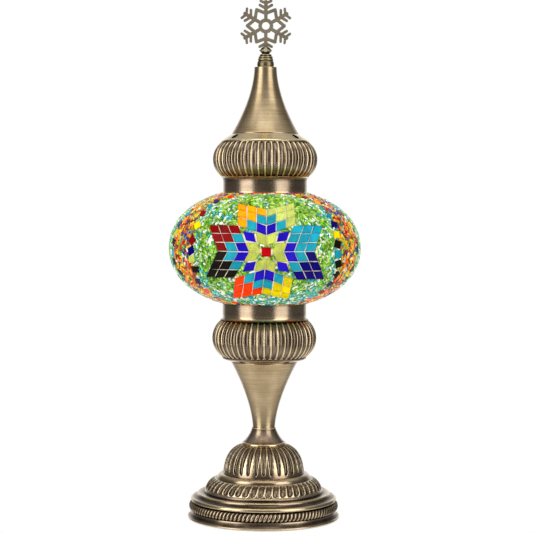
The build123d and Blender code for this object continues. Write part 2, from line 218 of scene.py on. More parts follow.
# ---------------- materials
def rgb(code):
    """Linear colour, with alpha, of a hex code."""
    parts = [int(code[i:i + 2], 16) / 255 for i in (1, 3, 5)]
    linear = [c / 12.92 if c <= 0.04045 else ((c + 0.055) / 1.055) ** 2.4 for c in parts]
    return (*linear, 1.0)


class Nodes:
    """The node tree of a material or a world, under construction."""

    def __init__(self, owner):
        owner.use_nodes = True
        self.tree = owner.node_tree
        self.tree.nodes.clear()
        self.coordinates = self.node("ShaderNodeTexCoord").outputs
        self.place = self.coordinates["Object"]

    def node(self, kind, operation=None, **inputs):
        """A new node. Inputs are values or sockets, named with underscores for spaces."""
        made = self.tree.nodes.new(kind)
        if operation:
            made.operation = operation
        self.fill(made, inputs)
        return made

    def fill(self, node, inputs):
        for key, value in inputs.items():
            self.feed(node.inputs[key.replace("_", " ")], value)

    def feed(self, socket, value):
        """Links a socket to another, or sets its value."""
        if isinstance(value, bpy.types.NodeSocket):
            self.tree.links.new(value, socket)
        else:
            socket.default_value = value

    def joined(self, kind, operation, *values, **inputs):
        """The first output of a node whose like-named inputs are fed in their order."""
        made = self.node(kind, operation, **inputs)
        free = [socket for socket in made.inputs if not socket.is_linked]
        for socket, value in zip(free, values):
            self.feed(socket, value)
        return made.outputs[0]

    def math(self, operation, *values):
        return self.joined("ShaderNodeMath", operation, *values)

    def total(self, first, *others):
        for other in others:
            first = self.math("ADD", first, other)
        return first

    def swing(self, value, size):
        """A value from 0 to 1 made to swing about 0, by that size from end to end."""
        return self.math("MULTIPLY", self.math("SUBTRACT", value, 0.5), size)

    def mapped(self, value, low, high, to_low, to_high, interpolation="LINEAR"):
        made = self.node("ShaderNodeMapRange", Value=value, From_Min=low, From_Max=high,
                         To_Min=to_low, To_Max=to_high)
        made.interpolation_type = interpolation
        return made.outputs["Result"]

    def stretched(self, x, y, z):
        """The object's coordinates, scaled by a different amount on each axis."""
        return self.node("ShaderNodeMapping", Vector=self.place, Scale=(x, y, z)).outputs["Vector"]

    def clouds(self, scale, detail=3.0, where=None):
        """Noise from 0 to 1, with that many cells to a metre."""
        made = self.node("ShaderNodeTexNoise", Vector=where or self.place, Scale=scale,
                         Detail=detail)
        return made.outputs["Fac"]

    def ramp(self, value, *stops):
        """A colour from a value, by stops of position and hex code."""
        made = self.node("ShaderNodeValToRGB", Fac=value)
        elements = made.color_ramp.elements
        while len(elements) < len(stops):
            elements.new(0.5)
        for element, (position, colour) in zip(elements, stops):
            element.position = position
            element.color = rgb(colour)
        return made.outputs["Color"]

    def value_on_points(self, name):
        made = self.node("ShaderNodeAttribute")
        made.attribute_name = name
        return made.outputs["Fac"]


class Surface(Nodes):
    """A material with one principled shader."""

    def __init__(self, name):
        self.material = bpy.data.materials.new(name)
        super().__init__(self.material)
        self.shader = self.node("ShaderNodeBsdfPrincipled")
        self.node("ShaderNodeOutputMaterial", Surface=self.shader.outputs[0])

    def set(self, **inputs):
        self.fill(self.shader, inputs)

    def bump(self, height, depth_mm):
        made = self.node("ShaderNodeBump", Height=height, Distance=depth_mm * MM, Strength=1.0)
        self.set(Normal=made.outputs["Normal"])


def antique_brass(name, dark, middle, bright, lines, rough_low, rough_high, metal=1.0):
    """Brass with brown patina left in the recesses and rubbed bright on the edges. lines is the
    strength of the lathe's marks."""
    s = Surface(name)
    patina = s.clouds(70, 5)
    speckle = s.clouds(1100, 2)
    lathe_marks = s.clouds(1.0, 3, s.stretched(25, 25, 2600))
    tone = s.total(s.value_on_points("wear"), s.swing(patina, 0.55), s.swing(speckle, 0.2),
                   s.swing(lathe_marks, lines))
    rough = s.total(s.mapped(tone, 0.0, 1.0, rough_high, rough_low), s.swing(speckle, 0.12))
    s.set(Base_Color=s.ramp(tone, (0.05, dark), (0.5, middle), (0.95, bright)), Metallic=metal,
          Roughness=rough)
    s.bump(s.total(s.math("MULTIPLY", lathe_marks, lines * 2), s.math("MULTIPLY", speckle, 0.5)), 0.03)
    tangent = s.node("ShaderNodeTangent")
    tangent.direction_type = "RADIAL"
    tangent.axis = "Z"
    s.set(Anisotropic=0.35, Anisotropic_Rotation=0.25, Tangent=tangent.outputs["Tangent"])
    return s.material


def glass(name, colour, grain, glow, shine, wave_mm, spread):
    """Glossy coloured glass that looks lit from inside, with streaks of darker and paler colour.
    spread is how far the colour goes either way with the tone of each piece."""
    s = Surface(name)
    streaks = s.clouds(260, 4, s.stretched(1, 1, 0.45))
    grains = s.clouds(2000, 2)
    tone = s.mapped(s.value_on_points("tone"), 0, 1, 0.95 - spread, 0.95 + spread)
    level = s.total(tone, s.swing(streaks, 0.9), s.swing(grains, grain * 2))
    shade = s.node("ShaderNodeVectorMath", "SCALE", Vector=rgb(colour)[:3], Scale=level)
    shade = shade.outputs["Vector"]
    s.set(Base_Color=shade, Roughness=0.13, Specular_IOR_Level=shine, Emission_Color=shade,
          Emission_Strength=glow)
    s.bump(s.total(s.clouds(330, 2), s.math("MULTIPLY", grains, grain)), wave_mm)
    return s.material


def moulded(name, dark, bright, rough, metallic, scale, depth_mm):
    """Plain matter with a fine grain in its colour, gloss and surface."""
    s = Surface(name)
    broad = s.clouds(60, 4)
    fine = s.clouds(scale * 4, 3)
    tone = s.total(s.math("MULTIPLY", broad, 0.5), s.math("MULTIPLY", fine, 0.5))
    s.set(Base_Color=s.ramp(tone, (0.3, dark), (0.7, bright)), Metallic=metallic,
          Roughness=s.mapped(fine, 0.3, 0.7, rough * 0.8, rough * 1.2))
    s.bump(fine, depth_mm)
    return s.material


# ---------------- metalwork
SHEET = 0.8
PIPE_HOLE_R = 5.2
STUD_HOLE_R = 2.2

NECK_TOP = 71.0
CONE_LENGTH = 51.9
CAP_HEIGHT = 46.8
GLOBE_TO_MOUTH = 41.9           # from the globe's middle to the mouth of either cap
LOWER_FLOOR = NECK_TOP + CONE_LENGTH
LOWER_MOUTH = LOWER_FLOOR + CAP_HEIGHT
GLOBE_Z = LOWER_MOUTH + GLOBE_TO_MOUTH
UPPER_MOUTH = GLOBE_Z + GLOBE_TO_MOUTH
UPPER_FLOOR = UPPER_MOUTH + CAP_HEIGHT
SPIRE_TOP = UPPER_FLOOR + CONE_LENGTH

BRASS = antique_brass("antique brass", "#40352A", "#A5907A", "#EAD5A9", 0.25, 0.19, 0.33)
CONE_BRASS = antique_brass("antique brass, brushed", "#5A462E", "#B09771", "#E6D2AC", 0.5, 0.28, 0.42)
DARK_BRASS = antique_brass("dark brass", "#241C13", "#6F634A", "#B2A27C", 0.15, 0.3, 0.5)
CAST_BRASS = antique_brass("cast brass", "#3A3226", "#857A66", "#B0A48B", 0.1, 0.45, 0.65, 0.5)


# Each relief gives the depth pressed into the metal and how worn it is, from 0 in a recess to 1 on a
# rubbed edge; in a few places that value also carries painted shade or a painted highlight. It takes the
# distance along a profile, the profile, the azimuth and its own settings.
def cap_flutes(distance, profile, azimuth, flutes, depth, ridge, round_end):
    """Concave channels between narrow ridges, round-ended at the far end of the profile."""
    phase = flute_phase(azimuth, flutes)
    half, across = across_flutes(profile, phase, flutes, ridge)
    to_end = distance[-1] - round_end - distance
    beyond = np.clip(half - to_end, 0, None)
    channel = scooped(across / half, beyond / half) * smoothstep(distance, 0.0, 0.5)
    crest_round = 0.12 * np.clip((phase / (ridge / 2)) ** 2, 0, 1)
    # The last term darkens the flutes' ends next to the lip: painted shadow under the lip.
    worn = rubbed(0.98, 0.85, channel, 0.2) - 0.6 * smoothstep(-to_end, -1.2, 0.6)
    return depth * channel + crest_round, worn


def dome_flutes(distance, profile, azimuth, flutes, depth):
    """Channels over a dome. The ridges are thin at the crown and widen into flat tongues."""
    total = distance[-1]
    ridge = 0.62 - 0.44 * smoothstep(distance / total, 0.0, 0.75)
    half, across = across_flutes(profile, flute_phase(azimuth, flutes, 0.5), flutes, ridge)
    below = np.clip(4.2 - distance, 0, None) / 2.2
    above = np.clip(half - (total - 0.9 - distance), 0, None) / half
    channel = scooped(across / half, below, above)
    # The land darkens towards the dome's foot: painted shade that dims its reflection there.
    land = 0.5 + 0.38 * smoothstep(distance, 1.0, 6.0)
    worn = rubbed(land, 0.8, channel, 0.2) - 0.35 * smoothstep(distance, total - 1.6, total)
    return depth * channel * profile[:, :1] / profile[0, 0], worn


def slanted_flutes(distance, profile, azimuth, flutes, depth, ridge, lean):
    """Channels with round ends at both ends of the profile, leaning sideways as they rise."""
    total = distance[-1]
    phase = flute_phase(azimuth, flutes, -lean * distance / total)
    half, across = across_flutes(profile, phase, flutes, ridge)
    beyond = np.clip(half - (total - 0.8 - distance), 0, None)
    below = np.clip(half - (distance - 0.4), 0, None)
    channel = scooped(across / half, beyond / half, below / half)
    plain = smoothstep(distance, total - 1.0, total) + smoothstep(-distance, -0.6, 0.0)
    return depth * channel, rubbed(0.95, 0.85, channel, 0.18, 0.3) - 0.5 * plain


def rope(distance, profile, azimuth, strands, depth, lean):
    """Slanting round strands that taper into the edges of their band."""
    share = distance / distance[-1]
    phase = flute_phase(azimuth, strands, -lean * share)
    edge = np.clip(np.abs(share - 0.5) * 2, 0, 1) ** 4
    groove = (np.abs(phase) * 2) ** 2
    worn = 0.66 - 0.8 * smoothstep(groove + 0.6 * edge, 0.1, 0.6)
    return depth * np.clip(groove + edge, 0, 1.3), worn


def even_wear(distance, profile, azimuth, wear):
    return 0 * distance, wear


def edge_wear(distance, profile, azimuth, base, gain=0.45, span=0.9):
    """Wear that is greater on the outer edges of a profile and less in its inner corners."""
    slope = np.gradient(profile, axis=0)
    heading = np.unwrap(np.arctan2(slope[:, 1], slope[:, 0]))
    apart = (distance - distance.T) / span
    weight = np.exp(-apart ** 2) * np.gradient(distance[:, 0])[None, :]
    smooth = weight @ heading / weight.sum(axis=1)
    bend = np.gradient(smooth, distance[:, 0])[:, None]
    return 0 * distance, base + gain * np.tanh(2.2 * bend)


def reversed_relief(relief):
    """The same relief for a profile that is followed from its other end."""
    def flipped(distance, profile, azimuth, *settings):
        depth, worn = relief(distance[-1] - distance[::-1], profile[::-1], azimuth, *settings)
        return depth[::-1], worn[::-1]
    return flipped


def flute_phase(azimuth, flutes, shift=0.0):
    """Place across a flute's pitch, from -0.5 to 0.5, with the ridge at 0."""
    share = azimuth / TAU * flutes + shift
    return share - np.round(share)


def across_flutes(profile, phase, flutes, ridge):
    """Half a channel's width and the distance from a channel's middle line."""
    pitch = TAU * profile[:, :1] / flutes
    return (0.5 - ridge / 2) * pitch, (0.5 - np.abs(phase)) * pitch


def scooped(*shares):
    """Depth of a round-bottomed channel, from 1 in its middle to 0 where the shares reach 1."""
    reach = np.sqrt(sum(share ** 2 for share in shares))
    return np.clip(1 - reach ** 2, 0, 1) ** 0.6


def rubbed(crest, drop, channel, bed, edge=0.35):
    """Wear that drops into a channel and comes back a little on its bed."""
    return crest - drop * smoothstep(channel, 0.0, edge) + bed * smoothstep(channel, 0.55, 1.0)


def brass_bands(node, *bands):
    """Turned brass pieces that together stand for one node of the foot."""
    for band in bands:
        place(lathe(*band), BRASS, "root", "antique_brass", node)


def foot():
    """The foot as five bands: rolled rim, rope band, ledge, fluted ring and the web inside it."""
    strands, flutes = 110, 48
    brass_bands(
        "base_foot",
        ("foot_rim",
         outline((57.0, 0.5), [(58.8, 0.6)], [(59.6, 1.4), (58.9, 2.1)],
                 [(57.4, 3.8), (56.9, 5.9)], [(56.0, 6.2)], step=0.4),
         outline((55.2, 6.0), [(55.2, 1.2)]),
         256, edge_wear, 0.3),
        ("foot_rope_band",
         outline((57.0, 5.7), [(58.5, 9.4), (57.0, 13.3)], step=0.45),
         outline((55.4, 13.3), [(55.4, 5.7)]),
         strands * 8, rope, strands, 0.75, 0.9),
        ("foot_ledge",
         outline((56.0, 13.2), [(56.4, 13.5)], [(57.1, 15.1), (55.6, 16.7)],
                 [(53.4, 17.2), (52.3, 18.4)], [(51.9, 19.6), (50.6, 20.1)], [(46.6, 20.1)],
                 [(46.5, 21.3)], [(45.6, 22.6)], step=0.3),
         outline((44.9, 22.6), [(45.2, 19.2)], [(50.4, 19.1)], [(54.2, 15.8)], [(54.4, 13.2)]),
         256, edge_wear, 0.42),
        ("foot_fluted_ring",
         outline((45.7, 22.3), [(42.7, 28.3), (37.6, 31.1)], step=0.4),
         outline((37.0, 29.6), [(43.5, 22.3)]),
         flutes * 12, slanted_flutes, flutes, 1.15, 0.2, 0.42),
        ("foot_web",
         outline((38.2, 30.6), [(38.0, 31.2)], [(37.2, 31.3)], [(PIPE_HOLE_R, 31.3)]),
         outline((PIPE_HOLE_R, 30.5), [(37.4, 30.3)]),
         192, even_wear, 0.45))


def dome():
    """The fluted dome on its rounded flange, closed by a flat web round the pipe."""
    centre_r, foot_z, top_z = 16.0, 35.4, 57.3
    reach, rise = 15.7, top_z - foot_z
    quarter = [(centre_r + reach * math.cos(t), foot_z + rise * math.sin(t))
               for t in np.linspace(0, math.pi / 2, 65)[1:]]
    flutes = 32
    brass_bands(
        "base_dome",
        ("dome_flange",
         outline((36.5, 31.0), [(36.4, 32.2)], [(35.3, 34.0), (32.6, 35.1)], [(31.0, 35.2)],
                 step=0.4),
         outline((30.6, 34.3), [(35.6, 31.0)]),
         224, edge_wear, 0.42),
        ("fluted_dome",
         outline((31.8, 34.9), [(centre_r + reach, foot_z)], quarter),
         outline((15.6, 56.0), [(22.0, 53.6), (28.6, 43.0)], [(30.0, 34.9)]),
         flutes * 16, dome_flutes, flutes, 1.15),
        ("dome_web",
         outline((17.4, 56.8), [(17.0, 57.25)], [(PIPE_HOLE_R, top_z)]),
         outline((PIPE_HOLE_R, 56.6), [(17.0, 56.3)]),
         128, even_wear, 0.3))


def neck():
    """The small trumpet on the dome, with a rolled edge at its foot and another at its top."""
    brass_bands(
        "base_neck",
        ("neck_trumpet",
         outline((15.2, 57.4), [(17.4, 58.3), (16.0, 59.5)], [(15.6, 59.9)],
                 [(12.1, 64.3), (9.3, 70.0)], [(9.6, 70.5), (9.3, NECK_TOP)],
                 [(PIPE_HOLE_R, NECK_TOP)], step=0.4),
         outline((PIPE_HOLE_R, NECK_TOP - SHEET), [(8.4, 70.0)], [(11.2, 64.0), (15.0, 59.0)],
                 [(14.9, 57.5)]),
         160, edge_wear, 0.5))


CONE_SMALL_R = 8.7
CONE_LARGE_R = 26.1


def flared_cone(name, small_z, large_z, hole_r, flare):
    """The long cone that flares late. Its small end is closed by a web round a hole."""
    direction = 1 if large_z > small_z else -1

    def wall(share, back):
        r = CONE_SMALL_R + (CONE_LARGE_R - CONE_SMALL_R) * share ** flare - back
        return (r, small_z + direction * CONE_LENGTH * share)

    outer = [wall(share, 0) for share in np.linspace(0, 1, 71)]
    inner = [wall(share, SHEET) for share in np.linspace(1, 0, 25)[:-1]]
    web_z = small_z + direction * SHEET
    outer = outline((hole_r, small_z), outer)
    inner = outline(inner[0], inner[1:], [(CONE_SMALL_R - SHEET, web_z)], [(hole_r, web_z)])
    if direction < 0:
        outer, inner = outer[::-1], inner[::-1]
    return lathe(name, outer, inner, 192, even_wear, 0.62)


# What differs between the two caps: heights from the mouth, the lip at the end of the bowl and its
# brightness, part wear and part painted highlight, and the azimuths of the vents.
CapShape = namedtuple("CapShape", "collar bowl_end lip_r lip_wear vents")
UPPER_CAP = CapShape(13.5, 41.0, 34.3, 0.88, (52, -52, 128, -128))
LOWER_CAP = CapShape(14.2, 43.8, 33.0, 0.85, (35, -35, 145, -145))
CAP_FLUTES = 46
VENT_R = 2.4
VENT_CIRCLE_R = 29.6
VENT_DRILL_REACH = 9


def fluted_cap(prefix, shape, mouth_z, up, hole_r):
    """Collar, fluted bowl, lip and vented shoulder. up is 1 for the cap above the globe."""
    def moved(points):
        return points * (1, up) + (0, mouth_z)

    c, e, lip = shape.collar, shape.bowl_end, shape.lip_r
    middle = (c + e) / 2
    collar_out = outline((31.9, 0), [(32.5, 0)], [(32.7, 0.3)], [(32.7, c - 4.1)],
                         [(33.1, c - 1.5), (34.5, c)], [(33.6, c + 0.4)], step=0.4)
    collar_in = outline((32.8, c), [(31.9, c - 1.9)], [(31.9, 0)])[:-1]
    bowl_out = outline((33.0, c), [(34.2, c + 0.4)], [(40.7, middle), (lip - 0.6, e - 0.3)],
                       [(lip - 1.4, e)], step=0.5)
    bowl_in = outline((lip - 2.1, e - 0.4), [(39.0, middle), (32.2, c + 0.1)], step=1.6)
    shoulder_out = outline((lip - 0.9, e - 0.5), [(lip, e - 0.3)],
                           [(lip - 0.5, e + 0.6), (lip - 1.7, e + 1.3)],
                           [(26.2, CAP_HEIGHT - 0.1)], [(hole_r, CAP_HEIGHT)], step=0.3)
    shoulder_in = outline((hole_r, CAP_HEIGHT - SHEET), [(25.8, CAP_HEIGHT - 0.9)],
                          [(lip - 1.8, e + 0.3)])
    pieces = []
    for part, outer, inner, count, relief, *settings in (
            ("collar", collar_out, collar_in, 256, edge_wear, 0.52),
            ("bowl", bowl_out, bowl_in, CAP_FLUTES * 12, cap_flutes, CAP_FLUTES, 1.25, 0.18, 1.6),
            # The shoulder's lip is made bright: part wear, part painted highlight where it catches the
            # light.
            ("shoulder", shoulder_out, shoulder_in, 192, edge_wear, shape.lip_wear)):
        outer, inner = moved(outer), moved(inner)
        if up < 0:
            outer, inner, relief = outer[::-1], inner[::-1], reversed_relief(relief)
        pieces.append(lathe(f"{prefix}_{part}", outer, inner, count, relief, *settings))
    pierce(pieces[2], shape.vents, mouth_z + up * e)
    return pieces


def pierce(piece, azimuths, z):
    """Drills round vents, parallel to the axis, through a shoulder."""
    points, faces = [], []
    for azimuth in np.radians(azimuths):
        x, y = VENT_CIRCLE_R * math.sin(azimuth), -VENT_CIRCLE_R * math.cos(azimuth)
        ends = [ring(32, VENT_R, z + reach, x, y) for reach in (-VENT_DRILL_REACH, VENT_DRILL_REACH)]
        faces += stacked(ends, len(points) * len(ends[0]))
        points += ends
    tool = new_mesh("vent_drills", points, faces)
    cut = piece.modifiers.new("vents", "BOOLEAN")
    cut.operation = "DIFFERENCE"
    cut.solver = "EXACT"
    cut.object = tool
    piece.data = applied(piece)
    piece.modifiers.clear()
    bpy.data.objects.remove(tool)


def applied(piece):
    """The mesh that a piece's modifiers make."""
    graph = bpy.context.evaluated_depsgraph_get()
    return bpy.data.meshes.new_from_object(piece.evaluated_get(graph))


def caps_and_cones():
    """Both caps, with the stem under the lower one and the spire on the upper one."""
    lower = fluted_cap("lower_cap", LOWER_CAP, LOWER_MOUTH, -1, PIPE_HOLE_R)
    upper = fluted_cap("upper_cap", UPPER_CAP, UPPER_MOUTH, 1, STUD_HOLE_R)
    for piece in lower:
        place(piece, BRASS, "root", "antique_brass", "lower_cap")
    for piece in upper:
        place(piece, BRASS, "top_cap", "antique_brass", "upper_cap")
    stem = flared_cone("stem_flare", NECK_TOP, LOWER_FLOOR, PIPE_HOLE_R, 1.6)
    place(stem, CONE_BRASS, "root", "antique_brass_cone", "stem_cone")
    spire = flared_cone("spire", SPIRE_TOP, UPPER_FLOOR, STUD_HOLE_R, 1.75)
    place(spire, CONE_BRASS, "top_cap", "antique_brass_cone", "spire_cone")


def finial():
    """The turned knob and the snowflake that stands on it."""
    knob = lathe(
        "finial_knob",
        outline((0, SPIRE_TOP), [(6.1, SPIRE_TOP)], [(6.5, 355.3), (5.7, 357.3)], [(5.4, 357.4)],
                [(6.1, 358.1), (5.6, 358.9)], [(5.0, 359.2)], [(5.6, 359.9), (5.1, 360.6)],
                [(4.3, 361.0)], [(4.7, 361.6), (4.1, 362.2)], [(2.7, 362.7)], [(4.5, 364.5)],
                [(4.9, 365.1), (4.5, 365.7)], [(2.7, 367.7)], [(0, 367.7)], step=0.25, corner=0.08),
        (), 96, edge_wear, 0.45, 0.5, 0.5)
    place(knob, DARK_BRASS, "finial", "dark_brass", "finial_stem")
    place(snowflake(), CAST_BRASS, "finial", "dark_brass", "snowflake")


FLAKE_Z = 384.3
FLAKE_HALF_THICKNESS = 1.2
CASTING_GRAIN = 0.24            # size of the cells that the flake's bars are fused in


def snowflake():
    """Six arms, a zigzag between them and a lobed ring, cast as one plate with soft edges."""
    points, faces = [], []

    def bar(width, foot_end, tip_end, degrees):
        """A flat bar with round ends, turned about the flake's centre."""
        foot_end, tip_end = np.array(foot_end, float), np.array(tip_end, float)
        run = (tip_end - foot_end) / np.linalg.norm(tip_end - foot_end)
        side = np.array([-run[1], run[0]])
        cap = [width / 2 * (math.cos(t) * run + math.sin(t) * side)
               for t in np.linspace(-math.pi / 2, math.pi / 2, 9)]
        a = math.radians(degrees)
        spin = np.array([[math.cos(a), -math.sin(a)], [math.sin(a), math.cos(a)]])
        rim = np.array([tip_end + p for p in cap] + [foot_end - p for p in cap]) @ spin.T
        sides = [np.column_stack([rim[:, 0], np.full(len(rim), y), FLAKE_Z + rim[:, 1]])
                 for y in (-FLAKE_HALF_THICKNESS, FLAKE_HALF_THICKNESS)]
        faces.extend(stacked(sides, len(points) * len(rim)))
        points.extend(sides)

    for degrees in range(0, 360, 60):
        bar(2.7, (0, 4.6), (0, 18.8), degrees)
        for side in (-1, 1):
            bar(2.1, (0, 13.4), (side * 4.7, 16.1), degrees)
            bar(2.5, (0, 9.7), (side * 7.2, 12.5), degrees)
            if degrees != 180:
                bar(2.0, (0, 17.5), (side * 4.1, 19.3), degrees)
        bar(1.9, (-0.5, 4.9), (0.5, 4.9), degrees + 30)
    bar(3.8, (0, -16.0), (0, -17.6), 0)
    hub = [ring(48, r, y)[:, [0, 2, 1]] + (0, 0, FLAKE_Z)
           for r, y in ((4.9, -FLAKE_HALF_THICKNESS), (4.9, FLAKE_HALF_THICKNESS),
                        (3.0, FLAKE_HALF_THICKNESS), (3.0, -FLAKE_HALF_THICKNESS))]
    faces.append(grid_faces(len(hub), len(hub[0]), True) + sum(map(len, points)))
    rough = new_mesh("snowflake_plate", np.concatenate(points + hub), faces)
    fuse = rough.modifiers.new("one casting", "REMESH")
    fuse.mode = "VOXEL"
    fuse.voxel_size = CASTING_GRAIN * MM
    soften = rough.modifiers.new("soft edges", "SMOOTH")
    soften.factor = 0.5
    soften.iterations = 4
    mesh = applied(rough)
    rough.modifiers.clear()
    rough.data = mesh
    mesh.polygons.foreach_set("use_smooth", np.full(len(mesh.polygons), True))
    places = np.zeros(len(mesh.vertices) * 3, np.float32)
    mesh.vertices.foreach_get("co", places)
    off_middle = np.abs(places[1::3]) / MM
    wear = mesh.attributes.new("wear", "FLOAT", "POINT")
    wear.data.foreach_set("value", 0.25 + 0.35 * smoothstep(off_middle, 0.5, 1.15))
    return rough


# ---------------- mosaic
GLOBE_R = 75.0
GLOBE_HALF_HEIGHT = 47.5
GLOBE_POWER = 2.15
EDGE_R = 33.2                   # where the mosaic ends at either mouth
MEDALLIONS = (1, 121, 241)      # azimuths of the three stars
STAR_V = -0.8                   # their centres, along the meridian from the equator


class Skin:
    """The globe's outer surface, addressed by azimuth and by distance v along the meridian."""

    def __init__(self):
        t = np.linspace(-math.pi / 2 + 0.02, math.pi / 2 - 0.02, 4001)
        power = 2 / GLOBE_POWER
        r = GLOBE_R * np.cos(t) ** power
        z = GLOBE_HALF_HEIGHT * np.sign(t) * np.abs(np.sin(t)) ** power
        v = along(np.column_stack([r, z]))
        v -= v[len(v) // 2]
        self.v, self.r, self.z = v, r, z
        self.slope_r, self.slope_z = np.gradient(r, v), np.gradient(z, v)
        upper = slice(len(v) // 2, None)
        self.edge_v = float(np.interp(-EDGE_R, -r[upper], v[upper]))

    def radius(self, v):
        return np.interp(v, self.v, self.r)

    def at(self, azimuth, v):
        """Point, east, north and outward directions, each (..., 3)."""
        azimuth, v = np.broadcast_arrays(np.asarray(azimuth, float), np.asarray(v, float))
        r, z, rise_r, rise_z = (np.interp(v, self.v, values)
                                for values in (self.r, self.z, self.slope_r, self.slope_z))
        length = np.hypot(rise_r, rise_z)
        rise_r, rise_z = rise_r / length, rise_z / length
        s, c = np.sin(azimuth), np.cos(azimuth)
        point = np.stack([r * s, -r * c, z + GLOBE_Z], axis=-1)
        east = np.stack([c, s, 0 * c], axis=-1)
        north = np.stack([rise_r * s, -rise_r * c, rise_z], axis=-1)
        outward = np.stack([rise_z * s, -rise_z * c, -rise_r], axis=-1)
        return point, east, north, outward


SKIN = Skin()

TILE_COLOURS = {
    "olive": "#BCC654", "blue": "#2212B4", "turquoise": "#1797AA", "red": "#B80A10",
    "amber": "#F7A400", "pale_olive": "#C6D266", "cyan": "#159DB6", "navy": "#0C0468",
    "yellow": "#E9D000", "orange": "#FF3C04", "black": "#1B1613", "dark_red": "#84060C",
    "slate": "#28304E",
}
HEART = 3.6                     # half the side of each star's middle tile
ARM_START = 4.4                 # from the star's middle to its arms
ARMS = {    # row pitch and sideways lean of each arm
    "up": (8.1, 0.0), "right": (8.35, 0.0), "down": (8.65, -0.09), "left": (8.4, 0.0),
}
WINGS = {   # accent colour, column width and slant per column, by arm and side
    ("up", -1): ("amber", 7.3, 2.7), ("up", 1): ("pale_olive", 7.4, 2.8),
    ("right", 1): ("cyan", 6.9, 2.7), ("right", -1): ("navy", 7.6, 3.6),
    ("down", 1): ("yellow", 7.3, 3.0), ("down", -1): ("orange", 7.4, 2.8),
    ("left", -1): ("black", 7.1, 3.8), ("left", 1): ("dark_red", 6.9, 2.8),
}
KITE = ((7.3, 7.1), (15.2, 8.4), (17.7, 15.8), (9.3, 14.6))
GROUT_GAP = 0.55


def arm_point(arm, across, out):
    """(u, v) of a point that far along an arm and that far to its positive side."""
    return {"up": (across, out), "down": (across, -out),
            "right": (out, across), "left": (-out, across)}[arm]


def box_corners(half_width, half_height):
    """Corners of an upright rectangle round (0, 0)."""
    return [(-half_width, -half_height), (half_width, -half_height),
            (half_width, half_height), (-half_width, half_height)]


def star_tiles():
    """Corner lists, in the medallion's own (u, v), with the colour of each tile."""
    tiles = [(box_corners(HEART, HEART), "red")]
    for (arm, side), (accent, width, slant) in WINGS.items():
        pitch, lean = ARMS[arm]
        for i, j in ((0, 0), *itertools.product((1, 2, 3), (0, 1, 2))):
            corners = []
            for row, column in ((i, j), (i, j + 1), (i + 1, j + 1), (i + 1, j)):
                out = row * pitch + column * slant
                across = side * column * width + lean * out
                corners.append(arm_point(arm, across, ARM_START + out))
            colour = ("olive", "blue", "turquoise", accent, accent, accent)[i + j]
            tiles.append((corners, colour))
    for right, up in itertools.product((-1, 1), (-1, 1)):
        tiles.append(([(right * u, up * v) for u, v in KITE], "blue"))
    return tiles


BORDER_R = 63.0
BORDER_TILES = (    # clockwise round the star from straight up, in degrees
    (14, "olive"), (31, "dark_red"), (45, "amber"), (61, "turquoise"), (70, "navy"),
    (78, "yellow"), (85, "black"), (92, "turquoise"), (99, "black"), (107, "black"),
    (117, "slate"), (128, "dark_red"), (143, "orange"), (160, "blue"), (182, "navy"),
    (203, "orange"), (219, "red"), (234, "orange"), (246, "slate"), (256, "black"),
    (264, "olive"), (270, "navy"), (277, "dark_red"), (289, "yellow"), (300, "dark_red"),
    (310, "turquoise"), (318, "navy"), (333, "orange"), (347, "turquoise"),
)


def ordered(corners):
    """The corners anticlockwise, seen from outside the globe."""
    corners = np.asarray(corners, float)
    x, y = corners[:, 0], corners[:, 1]
    area = np.sum(x * np.roll(y, -1) - np.roll(x, -1) * y)
    return corners if area > 0 else corners[::-1]


def inset(corners, gap):
    """A convex polygon moved inward by gap on every side."""
    ahead = np.roll(corners, -1, axis=0) - corners
    ahead /= np.linalg.norm(ahead, axis=1)[:, None]
    normal = np.column_stack([-ahead[:, 1], ahead[:, 0]])
    before = np.roll(normal, 1, axis=0)
    return corners + (normal + before) / (1 + np.sum(normal * before, axis=1)[:, None]) * gap


class TakenArea:
    """A fine grid over the globe that remembers where glass already lies."""

    ROW = 0.25
    COLUMNS = 1880

    def __init__(self):
        self.rows = int(2 * SKIN.edge_v / self.ROW)
        self.taken = np.zeros((self.rows, self.COLUMNS), bool)

    def window(self, azimuth, v, reach):
        """Rows, columns and local (u, v) round a point, out to reach."""
        row = int((v + SKIN.edge_v) / self.ROW)
        high = int(reach / self.ROW) + 1
        rows = np.arange(max(0, row - high), min(self.rows, row + high + 1))
        r = SKIN.radius(v)
        column = int(azimuth / TAU * self.COLUMNS)
        wide = int(reach / (r * TAU / self.COLUMNS)) + 1
        columns = np.arange(column - wide, column + wide + 1)
        u = (columns / self.COLUMNS * TAU - azimuth)[None, :] * r
        local_v = (rows * self.ROW - SKIN.edge_v - v)[:, None]
        return rows[:, None], (columns % self.COLUMNS)[None, :], u, local_v

    def mark(self, window, inside):
        self.taken[window[:2]] |= inside

    def free(self, window, inside):
        return not np.any(self.taken[window[:2]] & inside)


def capsule(window, length, width, lean):
    """Which cells of a window lie under a bead of that size and lean."""
    u, v = window[2:]
    c, s = math.cos(lean), math.sin(lean)
    lengthways = np.abs(u * c + v * s) - (length - width) / 2
    sideways = -u * s + v * c
    return np.clip(lengthways, 0, None) ** 2 + sideways ** 2 < (width / 2) ** 2


TILE_SINK = 0.42                # how far a tile's face lies under the globe's full size
TILE_RINGS = (      # how far in and how high each ring lies, its share of the tile's tone, and the painted shade taken off it
    (0.0, -1.7, 0, 0.0), (0.0, -0.3, 0, 0.0), (0.1, -0.08, 1, 0.4), (0.26, 0.0, 1, 0.4),
    (0.9, 0.03, 1, 0.0),
)


